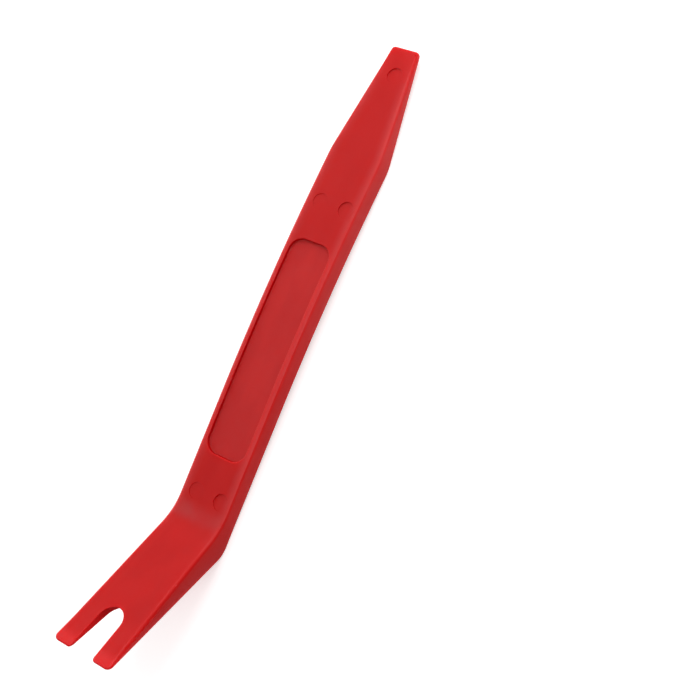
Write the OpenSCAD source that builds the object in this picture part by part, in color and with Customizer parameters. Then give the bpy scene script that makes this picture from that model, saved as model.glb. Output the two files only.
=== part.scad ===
// Trim removal tool, moulded as one piece: a flat bar with a bent, notched fork at one end
// and a chisel blade at the other. Millimetres, +X towards the blade, +Z up.
// It lies as it comes to rest, on the heel of the bend and the shoulder of the blade.

/* [Handle] */
// Length of the top face from the bend to the blade's shoulder
handle_l = 120; // [116:0.1:140]
// Width of the handle
handle_w = 18.9; // [17.5:0.1:22]
// Thickness of the handle
handle_t = 6.8; // [6:0.1:8.5]
// Distance from the bend at which the gentle arch starts
arch_start = 38; // [30:1:60]
// Distance from the bend at which the gentle arch ends
arch_end = 111; // [95:1:114]
// Angle that the arch turns through
arch_angle = 6.6; // [2:0.1:9]

/* [Fork] */
// Length of the fork's top face from the bend to the tine tips
fork_l = 52.4; // [46:0.1:62]
// Width over both tines at their tips
fork_w = 22; // [21:0.1:26]
// Thickness of the tines at their tips
fork_tip_t = 1.1; // [0.9:0.05:1.6]
// Thickness of the fork's wedge where it would reach the bend
fork_root_t = 10.2; // [8.6:0.1:11]
// Angle that the fork is bent up by
bend_angle = 34.9; // [25:0.1:42]
// Radius of the inside of the bend
bend_r = 18; // [12:1:24]
// How far the outside of the bend is softened
heel_soft = 2.4; // [0.8:0.1:3.6]
// Depth of the notch along the fork
notch_l = 16.9; // [14:0.1:24]
// Width of the notch at its mouth
notch_mouth_w = 8.6; // [8.2:0.1:10]
// Diameter of the notch's round root
notch_root_d = 8; // [6:0.1:8.1]
// Corner radius on the outside of each tine's tip
tine_outer_r = 1.8; // [1:0.1:2.5]
// Corner radius on the inside of each tine's tip
tine_inner_r = 1; // [0.5:0.1:1.6]

/* [Blade] */
// Length of the blade from its shoulder to its tip
blade_l = 36.5; // [30:0.1:46]
// Width of the blade at its tip
blade_tip_w = 9.8; // [8:0.1:13]
// Thickness of the blade at its tip
blade_tip_t = 1.7; // [1.2:0.1:2.4]
// Corner radius of the blade's tip
blade_r = 1.2; // [0.6:0.1:2]
// How far each side of the shoulder is softened
shoulder_soft = 2.5; // [1:0.1:4]

/* [Edges] */
// Radius of the long edges on the top face
edge_top_r = 1.1; // [0.6:0.1:1.4]
// Radius of the long edges on the underside
edge_bottom_r = 0.6; // [0.3:0.1:1.2]

/* [Recess] */
// Distance from the bend to the recess
recess_from = 20; // [14:0.5:26]
// Length of the recess
recess_l = 70.5; // [40:0.1:74]
// Width of the recess
recess_w = 14.9; // [10:0.1:15.2]
// Corner radius of the recess
recess_r = 4.5; // [2:0.1:5]
// Depth of the recess
recess_depth = 1.1; // [0.5:0.1:1.6]

/* [Ejector marks] */
// Diameter of the round marks left by the mould's ejector pins
pin_d = 5.2; // [4:0.1:5.4]
// Depth of the marks
pin_depth = 0.2; // [0.1:0.05:0.4]
// Distance from the bend to the pair of marks beside it
pin_bend_at = 7.6; // [7:0.1:10]
// Distance from the blade's shoulder back to the second pair of marks
pin_shoulder_back = 17.1; // [12:0.1:22]
// Distance from the blade's tip back to the single mark
pin_tip_back = 9.3; // [8:0.1:14]
// Sideways place of the left mark of a pair
pin_left_y = 3.9; // [3.5:0.1:5]
// Sideways place of the right mark of a pair
pin_right_y = -5.6; // [-5.6:0.1:-3.5]
// Sideways place of the single mark
pin_tip_y = -0.6; // [-1:0.1:1]

/* [Hidden] */
$fn = 96;

// Points on each rounded corner of a cross-section
corner_steps = 6;
// Part of the thickness that a thin section's edge radii may take
thin_share = 0.45;
// Spare length by which cutters pass a surface
spare = 1;

// The bend: half its arc length, and the straight line it takes from each side
bend_half = bend_r * bend_angle * PI / 360;
bend_tangent = bend_r * tan(bend_angle / 2);
// Distance of the tine tips from the corner where the fork's and handle's top faces would meet
fork_reach = bend_tangent + fork_l - bend_half;
// Slope of the fork's underside against its top face
fork_slope = (fork_root_t - fork_tip_t) / fork_reach;
// Centre radius of the arch on the top face, and the place where the arch starts
arch_r = (arch_end - arch_start) / (arch_angle * PI / 180);
arch_x = bend_tangent + arch_start - bend_half;
// Loss of half width and of thickness per millimetre of blade
blade_flare = (handle_w - blade_tip_w) / 2 / blade_l;
blade_slope = (handle_t - blade_tip_t) / blade_l;
// Whole length of the top face on the handle's side of the bend
tip_s = handle_l + blade_l;

function clamp01(x) = max(0, min(1, x));

// A ramp that is 0 below zero and x above it, with a rounded foot of half width b
function soft_ramp(x, b) = x < -b ? 0 : x > b ? x : (x + b) * (x + b) / (4 * b);

// The smaller of two values, with the corner between them rounded over k
function soft_min(a, b, k) = min(a, b) - pow(max(k - abs(a - b), 0), 2) / (4 * k);

// How far a corner of radius r has drawn in, at distance e from the end
function drawn_in(e, r) = e >= r ? 0 : r - sqrt(max(0, r * r - (r - e) * (r - e)));

// Heading of the top face at distance s from the bend, in degrees below level where negative
function heading(s) =
    -bend_angle * (1 - clamp01((s + bend_half) / (2 * bend_half)))
    - arch_angle * clamp01((s - arch_start) / (arch_end - arch_start));

// Point of the top face's centre line at distance s, as [x, z]
function top_point(s) =
    s < -bend_half ? (bend_tangent - bend_half - s) * [-cos(bend_angle), sin(bend_angle)]
    : s < bend_half ? let(a = (bend_half - s) / bend_r * 180 / PI)
        [bend_tangent - bend_r * sin(a), bend_r * (1 - cos(a))]
    : s < arch_start ? [bend_tangent + s - bend_half, 0]
    : s < arch_end ? let(a = (s - arch_start) / arch_r * 180 / PI)
        [arch_x + arch_r * sin(a), -arch_r * (1 - cos(a))]
    : [arch_x + arch_r * sin(arch_angle), -arch_r * (1 - cos(arch_angle))]
        + (s - arch_end) * [cos(arch_angle), -sin(arch_angle)];

// Direction into the body, square to the top face, as [x, z]
function inward(s) = [sin(heading(s)), -cos(heading(s))];

// Distance from the top face to the flat underside of the fork's wedge
function fork_depth(s) =
    let(along = [-cos(bend_angle), sin(bend_angle)], across = [-sin(bend_angle), -cos(bend_angle)],
        p = top_point(s), n = inward(s))
    (fork_root_t - fork_slope * (p * along) - p * across) / (n * across + fork_slope * (n * along));

// Distance from the top face to the flat underside of the handle beside the bend
function handle_depth(s) = (top_point(s)[1] + handle_t) / cos(heading(s));

// Thickness of the tool at distance s
function thickness(s) =
    s < arch_start ? soft_min(fork_depth(s), handle_depth(s), heel_soft)
    : handle_t - blade_slope * soft_ramp(s - handle_l, shoulder_soft);

// Half width of the tool at distance s, with the corners of both ends rounded
function half_width(s) =
    handle_w / 2
    + (fork_w - handle_w) / 2 * max(0, -s) / fork_l
    - blade_flare * soft_ramp(s - handle_l, shoulder_soft)
    - drawn_in(s + fork_l, tine_outer_r) - drawn_in(tip_s - s, blade_r);

// Points of one rounded corner of a section, as [y, depth]
function corner(y, depth, r, from) =
    [for (i = [0:corner_steps]) let(a = from + 90 * i / corner_steps) [y + r * cos(a), depth - r * sin(a)]];

// Rounded cross-section at distance s, as [y, depth] points
function section(s) =
    let(t = thickness(s), w = half_width(s),
        end_in = max(drawn_in(s + fork_l, fork_tip_t * thin_share), drawn_in(tip_s - s, blade_tip_t * thin_share)),
        room = (t - 2 * end_in) * thin_share, rt = min(edge_top_r, room), rb = min(edge_bottom_r, room))
    concat(
        corner(w - rt, end_in + rt, rt, 0), corner(rt - w, end_in + rt, rt, 90),
        corner(rb - w, t - end_in - rb, rb, 180), corner(w - rb, t - end_in - rb, rb, 270));

// Distances at which the sections stand: close together at the ends, the bend and the shoulder
end_steps = [for (a = [0:10:90]) 1 - cos(a)];
stations = concat(
    [for (e = end_steps) -fork_l + tine_outer_r * e],
    [for (i = [1:8]) -fork_l + tine_outer_r + (fork_l - tine_outer_r - 14) * i / 8],
    [for (s = [-13:1:9]) s],
    [for (i = [0:14]) arch_start + (arch_end - arch_start) * i / 14],
    [for (i = [-3:3]) handle_l + shoulder_soft * i / 3],
    [for (i = [1:5]) handle_l + shoulder_soft + (blade_l - blade_r - shoulder_soft) * i / 5],
    [for (i = [len(end_steps) - 2:-1:0]) tip_s - blade_r * end_steps[i]]);

// All points of the outer skin, ring by ring
ring = 4 * (corner_steps + 1);
skin = [for (s = stations) for (q = section(s))
    let(p = top_point(s) + q[1] * inward(s)) [p[0], q[0], p[1]]];
sides = [for (j = [0:len(stations) - 2]) for (i = [0:ring - 1])
    let(a = j * ring + i, b = j * ring + (i + 1) % ring) each [[a, b + ring, b], [a, a + ring, b + ring]]];
caps = [[for (i = [0:ring - 1]) i], [for (i = [ring - 1:-1:0]) (len(stations) - 1) * ring + i]];

// The tilt at which the heel and the shoulder both touch the ground
underside = [for (s = stations) top_point(s) + thickness(s) * inward(s)];
function height_at(p, tilt) = p[0] * sin(tilt) + p[1] * cos(tilt);
function lowest(points, tilt) =
    let(h = [for (p = points) height_at(p, tilt)], i = search(min(h), h)[0]) points[i];
function touching_tilt(tilt, rounds) =
    rounds == 0 ? tilt
    : let(heel = lowest([for (i = [0:len(stations) - 1]) if (stations[i] < arch_start) underside[i]], tilt),
          toe = lowest([for (i = [0:len(stations) - 1]) if (stations[i] > arch_start) underside[i]], tilt))
      touching_tilt(atan2(heel[1] - toe[1], toe[0] - heel[0]), rounds - 1);
rest_tilt = touching_tilt(arch_angle / 3, 6);

// Where the tilted skin's box lies, so that the origin is under its middle
tilted_x = [for (p = skin) p[0] * cos(rest_tilt) - p[2] * sin(rest_tilt)];
tilted_z = [for (p = skin) height_at([p[0], p[2]], rest_tilt)];
middle_x = (min(tilted_x) + max(tilted_x)) / 2;
ground_z = min(tilted_z);

// The notch is drawn square to the handle, as the mould opens. Its length as seen that way, to the root's centre
notch_run = notch_l * cos(bend_angle) - notch_root_d / 2;
// Angle of the notch's sides: they touch the round root and meet the mouth's width at the tips
notch_side = acos(notch_root_d / 2 / norm([notch_mouth_w / 2, notch_run])) - atan2(notch_run, notch_mouth_w / 2);

// Plan of the notch, with its root's centre at the origin and its mouth towards -X
module notch_plan() {
    root_r = notch_root_d / 2;
    past = 2 * spare;
    far = notch_run + past;
    touch = root_r * [-sin(notch_side), cos(notch_side)];
    out_y = notch_mouth_w / 2 + past * tan(notch_side);
    circle(r = root_r);
    polygon([touch, [-far, out_y], [-far, -out_y], [touch[0], -touch[1]]]);
    for (side = [-1, 1])
        difference() {
            translate([-far, side * notch_mouth_w / 2 - (side < 0 ? tine_inner_r : 0)])
                square([past + tine_inner_r, tine_inner_r]);
            translate([-notch_run + tine_inner_r, side * (notch_mouth_w / 2 + tine_inner_r)])
                circle(r = tine_inner_r);
        }
}

// Cutter for the notch, through the fork's whole height
module notch_cutter() {
    translate([notch_run - fork_reach * cos(bend_angle), 0, -fork_root_t])
        linear_extrude(fork_root_t + fork_reach) notch_plan();
}

// Plan of the recess, a rectangle with round corners
module recess_plan() {
    half = [recess_l / 2 - recess_r, recess_w / 2 - recess_r];
    square([recess_l, 2 * half[1]], center = true);
    square([2 * half[0], recess_w], center = true);
    for (x = [-1, 1], y = [-1, 1])
        translate([x * half[0], y * half[1]]) circle(r = recess_r);
}

// Everything above the recess's floor, seen from the side: level beside the bend, then along the arch
module above_floor() {
    start_x = recess_from - spare;
    end_x = recess_from + recess_l + bend_tangent + spare;
    translate([start_x, -recess_depth]) square([arch_x - start_x, 4 * spare]);
    difference() {
        translate([arch_x, -handle_t]) square([end_x - arch_x, handle_t + 4 * spare]);
        translate([arch_x, -arch_r]) circle(r = arch_r - recess_depth, $fn = 1440);
    }
}

// Cutter for the recess: its floor follows the top face
module recess_cutter() {
    intersection() {
        translate([recess_from + bend_tangent - bend_half + recess_l / 2, 0, -handle_t])
            linear_extrude(handle_t + 2 * spare) recess_plan();
        rotate([90, 0, 0]) linear_extrude(recess_w + 2 * spare, center = true) above_floor();
    }
}

// Cutter for one round ejector mark, square to the top face at distance s
module pin_mark(s, y) {
    p = top_point(s);
    translate([p[0], y, p[1]])
        rotate([0, -heading(s), 0])
            translate([0, 0, -pin_depth]) cylinder(d = pin_d, h = 3 * spare);
}

// The whole moulding
module trim_tool() {
    color([0.77, 0.16, 0.16])
        translate([-middle_x, 0, -ground_z])
            rotate([0, -rest_tilt, 0])
                difference() {
                    polyhedron(points = skin, faces = concat(sides, caps), convexity = 6);
                    notch_cutter();
                    recess_cutter();
                    for (y = [pin_left_y, pin_right_y]) {
                        pin_mark(pin_bend_at, y);
                        pin_mark(handle_l - pin_shoulder_back, y);
                    }
                    pin_mark(tip_s - pin_tip_back, pin_tip_y);
                }
}

trim_tool();
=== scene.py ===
"""Looks of the trim removal tool: one red moulding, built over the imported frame, in metres."""

import math

import bpy
import numpy as np
from mathutils import Matrix, Vector
from mathutils.geometry import delaunay_2d_cdt


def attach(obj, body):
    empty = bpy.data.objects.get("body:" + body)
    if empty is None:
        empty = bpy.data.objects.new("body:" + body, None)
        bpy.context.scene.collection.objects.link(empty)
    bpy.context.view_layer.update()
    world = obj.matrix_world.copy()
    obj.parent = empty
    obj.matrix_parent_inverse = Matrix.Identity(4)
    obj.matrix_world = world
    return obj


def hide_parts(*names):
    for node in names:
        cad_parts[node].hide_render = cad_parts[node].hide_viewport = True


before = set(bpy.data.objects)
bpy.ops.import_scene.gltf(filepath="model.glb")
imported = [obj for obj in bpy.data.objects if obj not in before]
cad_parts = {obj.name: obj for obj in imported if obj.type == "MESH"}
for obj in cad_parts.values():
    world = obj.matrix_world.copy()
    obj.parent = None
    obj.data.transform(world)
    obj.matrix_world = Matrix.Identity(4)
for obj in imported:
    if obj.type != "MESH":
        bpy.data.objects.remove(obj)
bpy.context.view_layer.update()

# Driving dimensions, the same as the part's
HANDLE_L = 0.12
HANDLE_W = 0.0189
HANDLE_T = 0.0068
ARCH_START = 0.038
ARCH_END = 0.111
ARCH_ANGLE = math.radians(6.6)
FORK_L = 0.0524
FORK_W = 0.022
FORK_TIP_T = 0.0011
FORK_ROOT_T = 0.0102
BEND_ANGLE = math.radians(34.9)
BEND_R = 0.018
HEEL_SOFT = 0.0024
NOTCH_L = 0.0169
NOTCH_MOUTH_W = 0.0086
NOTCH_ROOT_R = 0.004
TINE_OUTER_R = 0.0018
TINE_INNER_R = 0.001
BLADE_L = 0.0365
BLADE_TIP_W = 0.0098
BLADE_TIP_T = 0.0017
BLADE_R = 0.0012
SHOULDER_SOFT = 0.0025
EDGE_TOP_R = 0.0011
EDGE_BOTTOM_R = 0.0006
THIN_SHARE = 0.45
RECESS_FROM = 0.02
RECESS_L = 0.0705
RECESS_W = 0.0149
RECESS_R = 0.0045
RECESS_DEPTH = 0.0011
PIN_R = 0.0026
PIN_DEPTH = 0.0002
PIN_LEFT_Y = 0.0039
PIN_RIGHT_Y = -0.0056
PIN_BEND_S = 0.0076
PIN_SHOULDER_S = HANDLE_L - 0.0171
PIN_TIP_S = HANDLE_L + BLADE_L - 0.0093
PIN_TIP_Y = -0.0006

# Finer forms that only the looks have
NOTCH_EDGE_R = 0.00035
NOTCH_DRAFT = 0.045
LIP_R = 0.00022
FLOOR_FILLET_R = 0.00025
WALL_DRAFT = 0.0001
PIN_LIP_R = 0.00005
PIN_FILLET_R = 0.00006
PIN_LEAN = 1.2
PIN_LEAN_TO = math.radians(50)
PIN_LEAST_SHARE = 0.05
PIN_LEFT_SHARE = 0.5

# Steps of the mesh, in metres
SUPPORT = 0.00004
GRID_STEP = 0.0012
GRID_CLEARANCE = GRID_STEP * 0.55
SIDE_STEP = 0.0009
BEND_STEP = 0.00045
BEND_ZONE = 0.011

# Numbers of steps of the mesh and of rounds of its sums
TOP_ROUND_STEPS = 8
UNDER_ROUND_STEPS = 6
END_CORNER_STEPS = 12
TINE_CORNER_STEPS = 10
NOTCH_ROOT_STEPS = 36
RECESS_CORNER_STEPS = 14
PIN_STEPS = 40
POCKET_STEPS = 5
POCKET_WALL_BANDS = 4
RADIUS_ROUNDS = 4
DRAFT_ROUNDS = 8
TILT_STATIONS = 1200
TILT_ROUNDS = 6

# Numbers that the triangulation needs, and a slack that keeps rounding errors from adding a step
CDT_HULL = 0
CDT_TOLERANCE = 1e-7
STEP_SLACK = 1e-6

# Finishes of the faces, in the order of the piece's materials
FACE, PANEL, PAINTED_SHADE, SIDES = range(4)

# Reds of the plastic, in linear light: a pair where it wanders between two, or else one that it blends into
FACE_REDS = (0.515, 0.0065, 0.0065), (0.55, 0.0085, 0.008)
# Painted sheen: a paler, pinker face towards the blade
FACE_BLADE_SHEEN_RED = (0.525, 0.014, 0.0135)
FACE_BLADE_SHEEN_MOST = 0.5
HAZE_RED = (0.5, 0.03, 0.031)
# Painted light along the long edges: paler at the fork, with a painted sheen on the handle
FORK_RIM_LIGHT_RED = (0.56, 0.0075, 0.0075)
HANDLE_RIM_SHEEN_RED = (0.585, 0.054, 0.054)
# Painted glow of the thin ends, as if lit through from below
FACE_THIN_GLOW_RED = (0.575, 0.0105, 0.0105)
# Painted glow of the tine ends
TINE_END_GLOW_RED = (0.65, 0.0225, 0.0235)
NICK_RED = (0.6, 0.05, 0.05)
PANEL_REDS = (0.535, 0.0185, 0.0185), (0.57, 0.0215, 0.021)
SIDE_REDS = (0.515, 0.0075, 0.0075), (0.55, 0.0095, 0.009)
# Painted shade on the sides at the thick heel
SIDE_HEEL_SHADE_RED = (0.475, 0.002, 0.002)
# Painted glow of the sides at the thin ends
SIDE_THIN_GLOW_RED = (0.6, 0.0105, 0.0105)
# Painted sheen on the sides towards the blade
SIDE_BLADE_SHEEN_RED = (0.545, 0.0255, 0.025)
# Painted shade: darker reds for the walls of the notch and the pockets
SHADED_WALL_REDS = (0.4, 0.002, 0.003), (0.44, 0.003, 0.004)
# Painted light: the walls' painted shade lifts towards the tine tips
NOTCH_TIP_LIT_RED = (0.64, 0.014, 0.014)

# Where those blends start and end, along the tool in the frame's X
FACE_BLADE_SHEEN_BLEND = -0.05, 0.04
RIM_LIGHT_BLEND = -0.068, -0.045
TINE_END_GLOW_BLEND = -0.0955, -0.0985
SIDE_HEEL_SHADE_BLEND = -0.045, -0.065
SIDE_BLADE_SHEEN_BLEND = -0.03, 0.075
NOTCH_TIP_LIT_BLEND = -0.0855, -0.0965
THIN_GLOW_BLEND = 0.082, 0.1

# The painted light along the rims, the paled band in the bend, and the nicks on the edge as distance, width
# and depth
RIM_LIGHT_REACH = 0.0034
RIM_LIGHT_FALL = 1.4
HAZE_S = 0.0013
HAZE_CORE = 0.0005
HAZE_REACH = 0.0042
NICKS = ((0.0642, -0.0091, 0.0002), (-0.021, -0.0099, 0.0003))
NICK_CORE = 0.0002
NICK_REACH = 0.0005

# How light enters the plastic, and how deep its grain is
LIGHT_REACH = 0.0035
LIGHT_SHARES = (1.0, 0.1, 0.1)
GRAIN_DEPTH = 0.00002

# The stage
WHITE = (1.0, 1.0, 1.0, 1.0)
FLOOR_GREY = (0.82, 0.82, 0.82, 1.0)
FLOOR_ROUGHNESS = 0.9
FLOOR_GLOSS = 0.1
FLOOR_SIZE = 4.0
FLOOR_GAP = 0.0001
FLOOR_LIFT = 0.5
WORLD_LIGHT = 0.6
WORLD_SEEN = 1.0
CAMERA_LENS = 72.0
CAMERA_SENSOR = 36.0
CAMERA_NEAR = 0.01
CAMERA_PLACE = Vector((-0.00253, -0.22694, 0.36376))
CAMERA_TARGET = Vector((0.00877, -0.02721, 0.01))
CAMERA_UP = Vector((0.9181, 0.3319, 0.2167))

# A right angle, and values worked out from the driving dimensions
QUARTER = math.pi / 2
BEND_HALF = BEND_R * BEND_ANGLE / 2
BEND_TANGENT = BEND_R * math.tan(BEND_ANGLE / 2)
FORK_REACH = BEND_TANGENT + FORK_L - BEND_HALF
FORK_SLOPE = (FORK_ROOT_T - FORK_TIP_T) / FORK_REACH
ARCH_R = (ARCH_END - ARCH_START) / ARCH_ANGLE
ARCH_X = BEND_TANGENT + ARCH_START - BEND_HALF
BLADE_FLARE = (HANDLE_W - BLADE_TIP_W) / 2 / BLADE_L
BLADE_SLOPE = (HANDLE_T - BLADE_TIP_T) / BLADE_L
TIP_S = HANDLE_L + BLADE_L
NOTCH_RUN = NOTCH_L * math.cos(BEND_ANGLE) - NOTCH_ROOT_R
NOTCH_SIDE = math.acos(NOTCH_ROOT_R / math.hypot(NOTCH_MOUTH_W / 2, NOTCH_RUN)) - math.atan2(
    NOTCH_RUN, NOTCH_MOUTH_W / 2
)


def clamp01(x):
    """The nearest value between 0 and 1."""
    return max(0.0, min(1.0, x))


def dot(a, b):
    """The dot product of two flat vectors."""
    return a[0] * b[0] + a[1] * b[1]


def soft_ramp(x, b):
    """A ramp that is 0 below zero and x above it, with a rounded foot of half width b."""
    if x < -b:
        return 0.0
    return x if x > b else (x + b) ** 2 / (4 * b)


def soft_min(a, b, k):
    """The smaller of two values, with the corner between them rounded over k."""
    return min(a, b) - max(k - abs(a - b), 0.0) ** 2 / (4 * k)


def drawn_in(e, r):
    """How far a corner of radius r has drawn in, at distance e from the end."""
    return 0.0 if e >= r else r - math.sqrt(max(0.0, r * r - (r - e) ** 2))


def heading(s):
    """Heading of the top face at distance s from the bend."""
    unbent = clamp01((s + BEND_HALF) / (2 * BEND_HALF))
    arched = clamp01((s - ARCH_START) / (ARCH_END - ARCH_START))
    return -BEND_ANGLE * (1 - unbent) - ARCH_ANGLE * arched


def top_point(s):
    """Point (x, z) of the top face's centre line at distance s from the bend."""
    if s < -BEND_HALF:
        run = BEND_TANGENT - BEND_HALF - s
        return -run * math.cos(BEND_ANGLE), run * math.sin(BEND_ANGLE)
    if s < BEND_HALF:
        a = (BEND_HALF - s) / BEND_R
        return BEND_TANGENT - BEND_R * math.sin(a), BEND_R * (1 - math.cos(a))
    if s < ARCH_START:
        return BEND_TANGENT + s - BEND_HALF, 0.0
    a = min(s - ARCH_START, ARCH_END - ARCH_START) / ARCH_R
    past = max(0.0, s - ARCH_END)
    x = ARCH_X + ARCH_R * math.sin(a) + past * math.cos(a)
    return x, -ARCH_R * (1 - math.cos(a)) - past * math.sin(a)


def inward(s):
    """Direction (x, z) into the body, square to the top face."""
    return math.sin(heading(s)), -math.cos(heading(s))


def fork_depth(s):
    """Distance from the top face to the flat underside of the fork's wedge."""
    along = -math.cos(BEND_ANGLE), math.sin(BEND_ANGLE)
    across = -math.sin(BEND_ANGLE), -math.cos(BEND_ANGLE)
    p, n = top_point(s), inward(s)
    gap = FORK_ROOT_T - FORK_SLOPE * dot(p, along) - dot(p, across)
    return gap / (dot(n, across) + FORK_SLOPE * dot(n, along))


def thickness(s):
    """Thickness of the tool at distance s."""
    if s < ARCH_START:
        handle_depth = (top_point(s)[1] + HANDLE_T) / math.cos(heading(s))
        return soft_min(fork_depth(s), handle_depth, HEEL_SOFT)
    return HANDLE_T - BLADE_SLOPE * soft_ramp(s - HANDLE_L, SHOULDER_SOFT)


def half_width(s):
    """Half width of the tool at distance s, with the corners of both ends rounded."""
    flare = (FORK_W - HANDLE_W) / 2 * max(0.0, -s) / FORK_L
    taper = BLADE_FLARE * soft_ramp(s - HANDLE_L, SHOULDER_SOFT)
    corners = drawn_in(s + FORK_L, TINE_OUTER_R) + drawn_in(TIP_S - s, BLADE_R)
    return HANDLE_W / 2 + flare - taper - corners


def profile_point(s, depth):
    """Point (x, z) at a depth below the top face, before the tool is laid down."""
    p, n = top_point(s), inward(s)
    return p[0] + depth * n[0], p[1] + depth * n[1]


def resting_tilt():
    """The tilt at which the heel and the blade's shoulder both touch the ground, found in rounds."""
    stations = np.linspace(-FORK_L, TIP_S, TILT_STATIONS)
    under = np.array([profile_point(s, thickness(s)) for s in stations])
    behind = stations < ARCH_START
    tilt = ARCH_ANGLE / 3
    for _ in range(TILT_ROUNDS):
        height = under[:, 0] * math.sin(tilt) + under[:, 1] * math.cos(tilt)
        heel = under[behind][np.argmin(height[behind])]
        toe = under[~behind][np.argmin(height[~behind])]
        tilt = math.atan2(heel[1] - toe[1], toe[0] - heel[0])
    return tilt


REST_TILT = resting_tilt()


def laid_down(s, y, depth):
    """Point of the resting tool, before its box is centred on the frame's origin."""
    x, z = profile_point(s, depth)
    cos, sin = math.cos(REST_TILT), math.sin(REST_TILT)
    return x * cos - z * sin, y, x * sin + z * cos


def spread(start, end, step):
    """Even places from start up to, but not including, end."""
    n = max(1, math.ceil(abs(end - start) / step - STEP_SLACK))
    return [start + (end - start) * i / n for i in range(n)]


def on_circle(centre, r, a):
    """Point of a circle at an angle."""
    return centre[0] + r * math.cos(a), centre[1] + r * math.sin(a)


def arc(centre, r, start, end, n):
    """Points of an arc of n steps, without its last one."""
    return [on_circle(centre, r, start + (end - start) * i / n) for i in range(n)]


def quarter_turn(steps):
    """Angles of a rounded edge, from 0 to a right angle."""
    return [QUARTER * i / steps for i in range(steps + 1)]


def side_stations():
    """Distances at which the outline's long sides have points, from the tine tips to the blade's tip."""
    turn = quarter_turn(END_CORNER_STEPS)[:-1]
    places = [-FORK_L + TINE_OUTER_R * (1 - math.cos(a)) for a in turn]
    places += spread(-FORK_L + TINE_OUTER_R, -BEND_ZONE, SIDE_STEP)
    places += spread(-BEND_ZONE, BEND_ZONE, BEND_STEP)
    places += spread(BEND_ZONE, HANDLE_L - SHOULDER_SOFT, SIDE_STEP)
    places += spread(HANDLE_L - SHOULDER_SOFT, HANDLE_L + SHOULDER_SOFT, BEND_STEP)
    places += spread(HANDLE_L + SHOULDER_SOFT, TIP_S - BLADE_R, SIDE_STEP)
    return places + [TIP_S - BLADE_R * (1 - math.cos(a)) for a in reversed(turn)]


def notch_plan():
    """The notch's edge as (x, y) points, from the left tine's end round the root to the right one's.

    It is drawn square to the handle, so x is a distance from the tine tips in the handle's direction.
    """
    gate = TINE_INNER_R, NOTCH_MOUTH_W / 2
    middle = TINE_INNER_R, NOTCH_MOUTH_W / 2 + TINE_INNER_R
    corner = arc(middle, TINE_INNER_R, 2 * QUARTER, 3 * QUARTER, TINE_CORNER_STEPS)
    turn = QUARTER + NOTCH_SIDE
    root_middle = NOTCH_RUN, 0.0
    touch = on_circle(root_middle, NOTCH_ROOT_R, turn)
    run, rise = touch[0] - gate[0], touch[1] - gate[1]
    side = [(gate[0] + run * k, gate[1] + rise * k) for k in spread(0.0, 1.0, BEND_STEP / run)]
    root = arc(root_middle, NOTCH_ROOT_R, turn, -turn, NOTCH_ROOT_STEPS)
    far_side = [(x, -y) for x, y in reversed(corner + side + [touch])]
    return corner + side + root + far_side


def top_radius(s):
    """Radius of the top edge at distance s, smaller where the tool is thin."""
    return min(EDGE_TOP_R, thickness(s) * THIN_SHARE)


def outline():
    """The tool's plan on its unrolled top face, anticlockwise, as (s, y) points.

    With it come the top edge's radii and how much each point belongs to the notch, which is drawn square to
    the handle, while the other sides are square to the top face.
    """
    places = side_stations()
    right = [(s, -half_width(s)) for s in places]
    left = [(s, half_width(s)) for s in reversed(places)]
    tip_y = half_width(TIP_S)
    blade_end = [(TIP_S, y) for y in spread(-tip_y, tip_y, BEND_STEP)][1:]
    inner_y = NOTCH_MOUTH_W / 2 + TINE_INNER_R
    left_end = [(-FORK_L, y) for y in spread(half_width(-FORK_L), inner_y, BEND_STEP)][1:]
    right_end = [(s, -y) for s, y in reversed(left_end)]
    before = right + blade_end + left + left_end
    notch = notch_plan()
    points = before + [(-FORK_L + x / math.cos(BEND_ANGLE), y) for x, y in notch] + right_end
    radii = [top_radius(s) for s, _ in before]
    radii += [NOTCH_EDGE_R] * len(notch)
    radii += [top_radius(s) for s, _ in right_end]
    notched = [0.0] * len(before) + [clamp01(x / TINE_INNER_R) for x, _ in notch] + [0.0] * len(right_end)
    return points, radii, notched


def inward_normals(points):
    """Unit normals of a closed anticlockwise plan, to its inner side."""
    p = np.array(points)
    t = np.roll(p, -1, axis=0) - np.roll(p, 1, axis=0)
    n = np.stack([-t[:, 1], t[:, 0]], axis=1)
    return n / np.linalg.norm(n, axis=1)[:, None]


def smoothed(values):
    """A closed run of values, averaged with its neighbours a few times."""
    v = np.array(values)
    for _ in range(RADIUS_ROUNDS):
        v = (np.roll(v, 1) + 2 * v + np.roll(v, -1)) / 4
    return v


def inside(points, loop):
    """Which points lie inside a closed loop."""
    x, y = points[:, 0][:, None], points[:, 1][:, None]
    a, b = loop, np.roll(loop, -1, axis=0)
    spans = (a[:, 1] > y) != (b[:, 1] > y)
    rise = np.where(b[:, 1] == a[:, 1], 1.0, b[:, 1] - a[:, 1])
    crossing = (b[:, 0] - a[:, 0]) * (y - a[:, 1]) / rise + a[:, 0]
    return (spans & (x < crossing)).sum(axis=1) % 2 == 1


def grid_stations(low, high):
    """Grid places along the tool, closer together in the bend."""
    places = spread(-FORK_L, -BEND_ZONE, GRID_STEP) + spread(-BEND_ZONE, BEND_ZONE, BEND_STEP)
    places += spread(BEND_ZONE, TIP_S, GRID_STEP)
    return [s for s in places if low < s < high]


def grid_between(loops):
    """Grid points inside the first loop, outside the others and clear of them all."""
    edge = np.concatenate(loops)
    rows = np.arange(-FORK_W / 2, FORK_W / 2, GRID_STEP)
    grid = np.array([(s, y) for s in grid_stations(edge[:, 0].min(), edge[:, 0].max()) for y in rows])
    keep = inside(grid, loops[0])
    for loop in loops[1:]:
        keep &= ~inside(grid, loop)
    grid = grid[keep]
    gaps = np.hypot(grid[:, 0][:, None] - edge[:, 0], grid[:, 1][:, None] - edge[:, 1])
    return grid[gaps.min(axis=1) > GRID_CLEARANCE]


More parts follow.
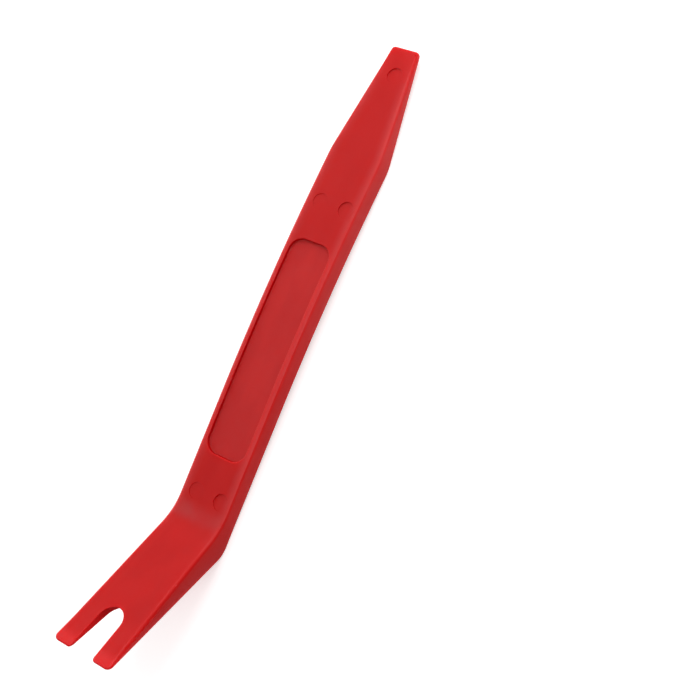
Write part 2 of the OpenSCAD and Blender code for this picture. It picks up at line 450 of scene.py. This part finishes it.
def loop_sides(loops):
    """Sides of loops whose points are numbered one after another, with the sheet on the left of each."""
    sides, first = [], 0
    for k, loop in enumerate(loops):
        n = len(loop)
        around = [(first + i, first + (i + 1) % n) for i in range(n)]
        sides += around if k == 0 else [(b, a) for a, b in around]
        first += n
    return sides


def triangulated(places, sides):
    """Triangles over places of the plan, as their numbers, that keep the given sides.

    The places are scaled to grid steps, a size that suits the triangulation's tolerance.
    """
    scale = 1 / GRID_STEP
    scaled = [Vector(p) * scale for p in places]
    _, _, faces, sources, _, _ = delaunay_2d_cdt(scaled, sides, [], CDT_HULL, CDT_TOLERANCE)
    return [[sources[i][0] for i in face] for face in faces]


def within_rim(triangles, sides):
    """Which anticlockwise triangles lie on the left of the plan's sides, found by spreading from them."""
    owner = {edge: k for k, t in enumerate(triangles) for edge in zip(t, t[1:] + t[:1])}
    rim = set(sides)
    found = {owner[side] for side in sides}
    fresh = list(found)
    while fresh:
        t = triangles[fresh.pop()]
        for a, b in zip(t, t[1:] + t[:1]):
            over = owner.get((b, a), -1)
            if (a, b) not in rim and over >= 0 and over not in found:
                found.add(over)
                fresh.append(over)
    return sorted(found)


class Skin:
    """Collects the moulding's points, as (s, y, depth), and its faces with their finishes."""

    def __init__(self):
        self.points = []
        self.faces = []
        self.finishes = []

    def add(self, plan, depths):
        """Adds points and returns their numbers."""
        first = len(self.points)
        self.points += [(p[0], p[1], d) for p, d in zip(plan, depths)]
        return list(range(first, len(self.points)))

    def band(self, a, b, finishes):
        """Joins two rings of the same length by quads, each with a finish."""
        n = len(a)
        self.faces += [(a[i], a[(i + 1) % n], b[(i + 1) % n], b[i]) for i in range(n)]
        self.finishes += finishes

    def sheet(self, outer, holes, depth, upward, finish):
        """Fills the plan inside one ring and outside others, with an even grid of points between."""
        rings = [outer, *holes]
        loops = [np.array([self.points[i][:2] for i in ring]) for ring in rings]
        grid = grid_between(loops)
        numbers = [i for ring in rings for i in ring]
        numbers += self.add(grid, [depth(s, y) for s, y in grid])
        sides = loop_sides(loops)
        triangles = triangulated(np.concatenate([*loops, grid]), sides)
        for k in within_rim(triangles, sides):
            t = [numbers[i] for i in triangles[k]]
            self.faces.append(tuple(t if upward else reversed(t)))
            self.finishes.append(finish)


def edge_rings(skin):
    """Adds the tool's rounded edge, as rings from the top face to the underside. Returns the end rings."""
    plan, radii, notched = outline()
    normals = inward_normals(plan)
    top_r = smoothed(radii)
    depth_all = np.array([thickness(s) for s, _ in plan])
    under_r = smoothed(np.minimum(EDGE_BOTTOM_R, depth_all * THIN_SHARE))

    def ring(inset, depth_of):
        """Adds one ring. The notch's walls lean with the depth, so place and depth settle in rounds."""
        places, depths = [], []
        for i, ((s, y), (across_s, across_y)) in enumerate(zip(plan, normals)):
            depth = 0.0
            for _ in range(DRAFT_ROUNDS):
                grow = inset[i] - NOTCH_DRAFT * notched[i] * depth
                at_s = s + across_s * grow + math.tan(BEND_ANGLE) * notched[i] * depth
                depth = depth_of(i, at_s)
            places.append((at_s, y + across_y * grow))
            depths.append(depth)
        return skin.add(places, depths)

    rings = [ring(top_r + SUPPORT, lambda i, s: 0.0)]
    for a in reversed(quarter_turn(TOP_ROUND_STEPS)):
        rings.append(ring(top_r * (1 - math.cos(a)), lambda i, s: top_r[i] * (1 - math.sin(a))))
    for a in quarter_turn(UNDER_ROUND_STEPS):
        inset = under_r * (1 - math.cos(a))
        rings.append(ring(inset, lambda i, s: thickness(s) - under_r[i] * (1 - math.sin(a))))
    rings.append(ring(under_r + SUPPORT, lambda i, s: thickness(s)))

    # The lower half of the top edge's round and the wall below it have the finish of walls, darkened as
    # painted shade in the notch
    wall_finishes = [PAINTED_SHADE if share > 0.5 else SIDES for share in notched]
    for k, (upper, lower) in enumerate(zip(rings, rings[1:])):
        is_wall = TOP_ROUND_STEPS // 2 < k <= TOP_ROUND_STEPS + 1
        skin.band(lower, upper, wall_finishes if is_wall else [FACE] * len(plan))
    return rings[0], rings[-1]


def recess_plan(grow):
    """The recess's plan, a rectangle with round corners, moved outwards by grow."""
    half_l, half_w = RECESS_L / 2 - RECESS_R, RECESS_W / 2 - RECESS_R
    middle = RECESS_FROM + RECESS_L / 2
    r = RECESS_R + grow
    plan = []
    for k, (sign_s, sign_y) in enumerate(((1, 1), (-1, 1), (-1, -1), (1, -1))):
        centre = middle + sign_s * half_l, sign_y * half_w
        a = (k + 1) * QUARTER
        plan += arc(centre, r, k * QUARTER, a, RECESS_CORNER_STEPS)
        start = on_circle(centre, r, a)
        length = 2 * half_l if k % 2 == 0 else 2 * half_w
        along = -math.sin(a), math.cos(a)
        plan += [(start[0] + along[0] * d, start[1] + along[1] * d) for d in spread(0.0, length, SIDE_STEP)]
    return plan


def pin_plan(s, y):
    """Plan of a round ejector mark, as a function of how far it is moved outwards."""
    return lambda grow: arc((s, y), PIN_R + grow, 0.0, 4 * QUARTER, PIN_STEPS)


def pin_share(s, y):
    """Share of an ejector mark's depth at a place: the pins' ends lean, and the left marks are fainter."""
    most = PIN_LEFT_SHARE if y == PIN_LEFT_Y else 1.0
    to_s, to_y = math.cos(PIN_LEAN_TO) / PIN_R, math.sin(PIN_LEAN_TO) / PIN_R
    return lambda at_s, at_y: most * max(
        PIN_LEAST_SHARE, 1 + PIN_LEAN * ((at_s - s) * to_s + (at_y - y) * to_y)
    )


def pocket(skin, plan_at, depth, lip, fillet, draft, finish, share=lambda s, y: 1.0):
    """Adds a shallow pocket with a rounded lip, a drafted wall and a filleted floor. Returns its rim ring.

    At each place it has a share of the depth.
    """
    turn = quarter_turn(POCKET_STEPS)
    profile = [(lip + SUPPORT / 2, 0.0)]
    profile += [(lip * (1 - math.sin(a)), lip * (1 - math.cos(a))) for a in turn]
    profile += [(-draft - fillet * (1 - math.cos(a)), depth - fillet * (1 - math.sin(a))) for a in turn]
    profile.append((-draft - fillet - SUPPORT, depth))
    rings = []
    for grow, down in profile:
        plan = plan_at(grow)
        rings.append(skin.add(plan, [down * share(s, y) for s, y in plan]))
    # The lip looks like the face, the wall is darkened as painted shade, and the fillet's foot looks like
    # the floor
    finishes = [FACE] * POCKET_STEPS + [PAINTED_SHADE] * POCKET_WALL_BANDS
    finishes += [finish] * (len(rings) - 1 - len(finishes))
    for a, b, band_finish in zip(rings, rings[1:], finishes):
        skin.band(a, b, [band_finish] * len(a))
    skin.sheet(rings[-1], [], lambda s, y: depth * share(s, y), True, finish)
    return rings[0]


def build_moulding():
    """The whole tool as one closed mesh, and the shift that centres its box on the frame's origin."""
    skin = Skin()
    top, under = edge_rings(skin)
    skin.sheet(under, [], lambda s, y: thickness(s), False, FACE)
    holes = [pocket(skin, recess_plan, RECESS_DEPTH, LIP_R, FLOOR_FILLET_R, WALL_DRAFT, PANEL)]
    pins = [(s, y) for s in (PIN_BEND_S, PIN_SHOULDER_S) for y in (PIN_LEFT_Y, PIN_RIGHT_Y)]
    for s, y in [*pins, (PIN_TIP_S, PIN_TIP_Y)]:
        mark = pocket(skin, pin_plan(s, y), PIN_DEPTH, PIN_LIP_R, PIN_FILLET_R, 0.0, FACE, pin_share(s, y))
        holes.append(mark)
    skin.sheet(top, holes, lambda s, y: 0.0, True, FACE)

    placed = np.array([laid_down(*p) for p in skin.points])
    shift = np.array([-(placed[:, 0].min() + placed[:, 0].max()) / 2, 0.0, -placed[:, 2].min()])
    mesh = bpy.data.meshes.new("trim_tool_moulding")
    mesh.from_pydata((placed + shift).tolist(), [], skin.faces)
    mesh.polygons.foreach_set("use_smooth", [True] * len(mesh.polygons))
    mesh.polygons.foreach_set("material_index", skin.finishes)
    # Share of the painted rim light, strongest at the long sides
    rim_light_shares = [clamp01(1 - (half_width(s) - abs(y)) / RIM_LIGHT_REACH) ** RIM_LIGHT_FALL for s, y, _ in skin.points]
    mesh.attributes.new("rim", "FLOAT", "POINT").data.foreach_set("value", rim_light_shares)
    mesh.update()
    piece = bpy.data.objects.new("trim_tool_moulding", mesh)
    bpy.context.scene.collection.objects.link(piece)
    return piece, shift


def new_material(name):
    """A node material, its tree and its shader."""
    material = bpy.data.materials.new(name)
    material.use_nodes = True
    tree = material.node_tree
    return material, tree, tree.nodes["Principled BSDF"]


def place_on_tool(tree):
    """A socket with each place's point in the tool's frame."""
    return tree.nodes.new("ShaderNodeTexCoord").outputs["Object"]


def tool_x(tree):
    """A socket with each place's distance along the tool from its middle."""
    split = tree.nodes.new("ShaderNodeSeparateXYZ")
    tree.links.new(place_on_tool(tree), split.inputs[0])
    return split.outputs["X"]


def noise(tree, size, stretch=1.0, detail=3.0, seed=0.0):
    """A noise value with features of a size in metres, drawn out along the tool by stretch."""
    spread_out = tree.nodes.new("ShaderNodeMapping")
    spread_out.inputs["Location"].default_value = (seed, seed, seed)
    spread_out.inputs["Scale"].default_value = (1 / stretch, 1.0, 1.0)
    grain = tree.nodes.new("ShaderNodeTexNoise")
    grain.inputs["Scale"].default_value = 1 / size
    grain.inputs["Detail"].default_value = detail
    tree.links.new(place_on_tool(tree), spread_out.inputs["Vector"])
    tree.links.new(spread_out.outputs["Vector"], grain.inputs["Vector"])
    return grain.outputs["Fac"]


def eased(tree, value, low, high, to_low=0.0, to_high=1.0):
    """A value taken smoothly from one range to another."""
    ease = tree.nodes.new("ShaderNodeMapRange")
    ease.interpolation_type = "SMOOTHSTEP"
    for name, number in (("From Min", low), ("From Max", high), ("To Min", to_low), ("To Max", to_high)):
        ease.inputs[name].default_value = number
    tree.links.new(value, ease.inputs["Value"])
    return ease.outputs["Result"]


def blended(tree, share, first, second):
    """A colour between two others, each a colour or a socket."""
    mix = tree.nodes.new("ShaderNodeMix")
    mix.data_type = "RGBA"
    tree.links.new(share, mix.inputs["Factor"])
    # The mix node has sockets for each kind of value, and these numbers are those for colours
    for socket, colour in ((mix.inputs[6], first), (mix.inputs[7], second)):
        if isinstance(colour, tuple):
            socket.default_value = (*colour, 1.0)
        else:
            tree.links.new(colour, socket)
    return mix.outputs[2]


def worked_out(tree, operation, a, b=None):
    """The result of a sum on one or two values: a is a socket, b a socket or a number."""
    node = tree.nodes.new("ShaderNodeMath")
    node.operation = operation
    tree.links.new(a, node.inputs[0])
    if isinstance(b, float):
        node.inputs[1].default_value = b
    elif b is not None:
        tree.links.new(b, node.inputs[1])
    return node.outputs[0]


def bumped(tree, height, depth, strength, below=None):
    """A normal from a height value of 0 to 1, over another normal if one is given."""
    bump = tree.nodes.new("ShaderNodeBump")
    bump.inputs["Strength"].default_value = strength
    bump.inputs["Distance"].default_value = depth
    tree.links.new(height, bump.inputs["Height"])
    if below is not None:
        tree.links.new(below, bump.inputs["Normal"])
    return bump.outputs["Normal"]


def near_point(tree, place, point, core, reach):
    """A value that is 1 within a core distance of a point and fades to 0 at its reach."""
    gap = tree.nodes.new("ShaderNodeVectorMath")
    gap.operation = "DISTANCE"
    gap.inputs[1].default_value = point
    tree.links.new(place, gap.inputs[0])
    return eased(tree, gap.outputs["Value"], core, reach, 1.0, 0.0)


def bend_haze(tree, middle):
    """How much the colour is paled in a blotchy band on the hollow side of the bend."""
    side_on = tree.nodes.new("ShaderNodeVectorMath")
    side_on.operation = "MULTIPLY"
    side_on.inputs[1].default_value = (1.0, 0.0, 1.0)
    tree.links.new(place_on_tool(tree), side_on.inputs[0])
    band = near_point(tree, side_on.outputs["Vector"], middle, HAZE_CORE, HAZE_REACH)
    patch = eased(tree, noise(tree, size=0.007, seed=3.0), 0.3, 0.65, to_low=0.45)
    return worked_out(tree, "MULTIPLY", band, patch)


def near_painted_rim_light(tree):
    """How near a place is to the long sides, along which light is painted in as a paler band."""
    rim = tree.nodes.new("ShaderNodeAttribute")
    rim.attribute_name = "rim"
    return rim.outputs["Fac"]


def along_tool(tree, blend, most=1.0):
    """How far a place has come along the tool, from 0 at a blend's start to most at its end."""
    start, end = blend
    return eased(tree, tool_x(tree), start, end, to_high=most)


def thin_ends_glow(tree):
    """How much a place is near the thin ends, which are painted paler as if light came up through them."""
    start, end = THIN_GLOW_BLEND
    return eased(tree, worked_out(tree, "ABSOLUTE", tool_x(tree)), start, end)


def satin(shader, gloss=0.13, light_in=1.0):
    """Gloss and depth of the tool's plastic: light goes a few millimetres into it."""
    shader.inputs["Specular IOR Level"].default_value = gloss
    shader.inputs["Subsurface Weight"].default_value = light_in
    shader.inputs["Subsurface Radius"].default_value = LIGHT_SHARES
    shader.inputs["Subsurface Scale"].default_value = LIGHT_REACH


def flow_marks(tree, reds, size, stretch=1.0, seed=0.0):
    """A colour that wanders between two reds, as the flow of the plastic leaves it."""
    share = eased(tree, noise(tree, size, stretch, seed=seed), 0.35, 0.65)
    return blended(tree, share, *reds)


def rub_marks(tree, smoothest, roughest, size, stretch=1.0, detail=5.0, seed=0.0):
    """A roughness that wanders between two values, as handling leaves it."""
    return eased(tree, noise(tree, size, stretch, detail, seed), 0.3, 0.7, smoothest, roughest)


def sink_marks(tree, size, depth, strength, seed):
    """A normal for the slight unevenness that is left when a moulding cools."""
    return bumped(tree, noise(tree, size, detail=1.0, seed=seed), depth, strength)


def fine_grain(tree, size, strength, seed=0.0, below=None):
    """A normal for the grain of the mould's surface, over another normal if one is given."""
    return bumped(tree, noise(tree, size, seed=seed), GRAIN_DEPTH, strength, below)


def red_plastic(haze_at, nicks):
    """Satin red plastic with faint flow marks, fine grain, a paled bend and two nicks, and painted light: a
    sheen towards the blade, paler long edges and glowing thin ends.
    """
    material, tree, shader = new_material("red_plastic")
    satin(shader)
    colour = flow_marks(tree, FACE_REDS, size=0.009, stretch=2.5)
    # Painted sheen: the face pales towards the blade, where more light falls
    colour = blended(tree, along_tool(tree, FACE_BLADE_SHEEN_BLEND, FACE_BLADE_SHEEN_MOST), colour, FACE_BLADE_SHEEN_RED)
    colour = blended(tree, bend_haze(tree, haze_at), colour, HAZE_RED)
    # Painted rim light: the long edges paler, with a painted sheen along the handle's
    rim = blended(tree, along_tool(tree, RIM_LIGHT_BLEND), FORK_RIM_LIGHT_RED, HANDLE_RIM_SHEEN_RED)
    colour = blended(tree, near_painted_rim_light(tree), colour, rim)
    # Painted glow at the thin ends
    colour = blended(tree, thin_ends_glow(tree), colour, FACE_THIN_GLOW_RED)
    # Painted glow at the tine ends
    colour = blended(tree, along_tool(tree, TINE_END_GLOW_BLEND), colour, TINE_END_GLOW_RED)
    for point in nicks:
        nick = near_point(tree, place_on_tool(tree), point, NICK_CORE, NICK_REACH)
        colour = blended(tree, nick, colour, NICK_RED)
    tree.links.new(colour, shader.inputs["Base Color"])
    rub = rub_marks(tree, smoothest=0.3, roughest=0.44, size=0.004, stretch=4.0, detail=6.0, seed=1.0)
    tree.links.new(rub, shader.inputs["Roughness"])
    sink = sink_marks(tree, size=0.011, depth=0.0004, strength=0.2, seed=2.0)
    tree.links.new(fine_grain(tree, size=0.0005, strength=0.35, below=sink), shader.inputs["Normal"])
    return material


def red_plastic_panel():
    """The recessed panel: a little duller and paler, with an even fine grain."""
    material, tree, shader = new_material("red_plastic_panel")
    satin(shader)
    colour = flow_marks(tree, PANEL_REDS, size=0.006, stretch=3.0, seed=5.0)
    tree.links.new(colour, shader.inputs["Base Color"])
    rub = rub_marks(tree, smoothest=0.42, roughest=0.55, size=0.003, seed=6.0)
    tree.links.new(rub, shader.inputs["Roughness"])
    sink = sink_marks(tree, size=0.012, depth=0.0003, strength=0.13, seed=7.0)
    tree.links.new(fine_grain(tree, size=0.0004, strength=0.5, below=sink), shader.inputs["Normal"])
    return material


def red_plastic_painted_shade():
    """Walls of the notch and the pockets: matt, and darkened in colour as painted shade."""
    material, tree, shader = new_material("red_plastic_painted_shade")
    satin(shader, gloss=0.02, light_in=0.25)
    shader.inputs["Roughness"].default_value = 0.7
    # Painted shade in the walls of the notch and the pockets
    colour = flow_marks(tree, SHADED_WALL_REDS, size=0.005, seed=8.0)
    # Painted light: the notch walls' painted shade lifts towards the tine tips
    colour = blended(tree, along_tool(tree, NOTCH_TIP_LIT_BLEND), colour, NOTCH_TIP_LIT_RED)
    tree.links.new(colour, shader.inputs["Base Color"])
    tree.links.new(fine_grain(tree, size=0.0004, strength=0.4, seed=9.0), shader.inputs["Normal"])
    return material


def red_plastic_sides():
    """The long sides: duller, with painted shade at the thick heel and a painted sheen at the blade, and
    faint marks down them.
    """
    material, tree, shader = new_material("red_plastic_sides")
    satin(shader, gloss=0.09)
    colour = flow_marks(tree, SIDE_REDS, size=0.006, stretch=2.0, seed=10.0)
    # Painted shade at the thick heel
    colour = blended(tree, along_tool(tree, SIDE_HEEL_SHADE_BLEND), colour, SIDE_HEEL_SHADE_RED)
    # Painted glow at the thin ends
    colour = blended(tree, thin_ends_glow(tree), colour, SIDE_THIN_GLOW_RED)
    # Painted sheen towards the blade
    colour = blended(tree, along_tool(tree, SIDE_BLADE_SHEEN_BLEND), colour, SIDE_BLADE_SHEEN_RED)
    tree.links.new(colour, shader.inputs["Base Color"])
    rub = rub_marks(tree, smoothest=0.38, roughest=0.54, size=0.0008, stretch=0.25, seed=11.0)
    tree.links.new(rub, shader.inputs["Roughness"])
    tree.links.new(fine_grain(tree, size=0.0005, strength=0.35, seed=12.0), shader.inputs["Normal"])
    return material


def seen_directly(tree):
    """A socket that is 1 where the background is looked at, straight, in a reflection or through glass."""
    rays = tree.nodes.new("ShaderNodeLightPath").outputs
    straight_or_mirrored = worked_out(tree, "MAXIMUM", rays["Is Camera Ray"], rays["Is Glossy Ray"])
    return worked_out(tree, "MAXIMUM", straight_or_mirrored, rays["Is Transmission Ray"])


def pale_floor():
    """White floor that keeps the soft shadow of what lies on it."""
    material, tree, shader = new_material("pale_floor")
    shader.inputs["Base Color"].default_value = FLOOR_GREY
    shader.inputs["Roughness"].default_value = FLOOR_ROUGHNESS
    shader.inputs["Specular IOR Level"].default_value = FLOOR_GLOSS
    shader.inputs["Emission Color"].default_value = WHITE
    lift = worked_out(tree, "MULTIPLY", seen_directly(tree), FLOOR_LIFT)
    tree.links.new(lift, shader.inputs["Emission Strength"])
    return material


def set_world():
    """Even white surroundings: full white where they are seen, softer where they light."""
    world = bpy.data.worlds.new("studio")
    bpy.context.scene.world = world
    world.use_nodes = True
    tree = world.node_tree
    light = tree.nodes["Background"]
    light.inputs["Color"].default_value = WHITE
    light.inputs["Strength"].default_value = WORLD_LIGHT
    seen = tree.nodes.new("ShaderNodeBackground")
    seen.inputs["Color"].default_value = WHITE
    seen.inputs["Strength"].default_value = WORLD_SEEN
    mix = tree.nodes.new("ShaderNodeMixShader")
    tree.links.new(seen_directly(tree), mix.inputs[0])
    tree.links.new(light.outputs[0], mix.inputs[1])
    tree.links.new(seen.outputs[0], mix.inputs[2])
    tree.links.new(mix.outputs[0], tree.nodes["World Output"].inputs["Surface"])


def add_lamp(name, towards, distance, size, watts, mirrored=True):
    """A square soft lamp that faces the tool from a direction, with or without its mirror image in it."""
    lamp = bpy.data.lights.new(name, "AREA")
    lamp.shape = "SQUARE"
    lamp.size = size
    lamp.energy = watts
    holder = bpy.data.objects.new(name, lamp)
    aim = Vector(towards).normalized()
    holder.location = aim * distance
    holder.rotation_euler = aim.to_track_quat("Z", "Y").to_euler()
    holder.visible_glossy = mirrored
    bpy.context.scene.collection.objects.link(holder)


def add_floor():
    """A large level floor under the tool."""
    mesh = bpy.data.meshes.new("floor")
    r = FLOOR_SIZE / 2
    mesh.from_pydata([(-r, -r, 0), (r, -r, 0), (r, r, 0), (-r, r, 0)], [], [(0, 1, 2, 3)])
    floor = bpy.data.objects.new("floor", mesh)
    floor.location.z = -FLOOR_GAP
    mesh.materials.append(pale_floor())
    bpy.context.scene.collection.objects.link(floor)


def add_camera():
    """The photograph's camera, found from the tool's outline in it."""
    data = bpy.data.cameras.new("camera")
    data.lens = CAMERA_LENS
    data.sensor_width = CAMERA_SENSOR
    data.clip_start = CAMERA_NEAR
    camera = bpy.data.objects.new("camera", data)
    back = (CAMERA_PLACE - CAMERA_TARGET).normalized()
    across = CAMERA_UP.cross(back).normalized()
    up = back.cross(across)
    turn = Matrix((across, up, back)).transposed().to_4x4()
    camera.matrix_world = Matrix.Translation(CAMERA_PLACE) @ turn
    bpy.context.scene.collection.objects.link(camera)
    bpy.context.scene.camera = camera


moulding, shift = build_moulding()
haze_at = np.array(laid_down(HAZE_S, 0.0, 0.0)) + shift
nicks = [np.array(laid_down(*place)) + shift for place in NICKS]
moulding.data.materials.append(red_plastic(haze_at, nicks))
moulding.data.materials.append(red_plastic_panel())
moulding.data.materials.append(red_plastic_painted_shade())
moulding.data.materials.append(red_plastic_sides())
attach(moulding, "root")
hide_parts("trim_tool")

set_world()
add_floor()
add_lamp("key", towards=(0.66, 0.0, 0.75), distance=0.7, size=0.4, watts=1.98)
add_lamp("side", towards=(0.85, -0.5, 0.2), distance=0.4, size=0.2, watts=0.4, mirrored=False)
add_lamp("rim", towards=(0.1, 0.97, 0.22), distance=0.5, size=0.2, watts=0.62)
add_camera()
bpy.context.scene.view_settings.view_transform = "Standard"
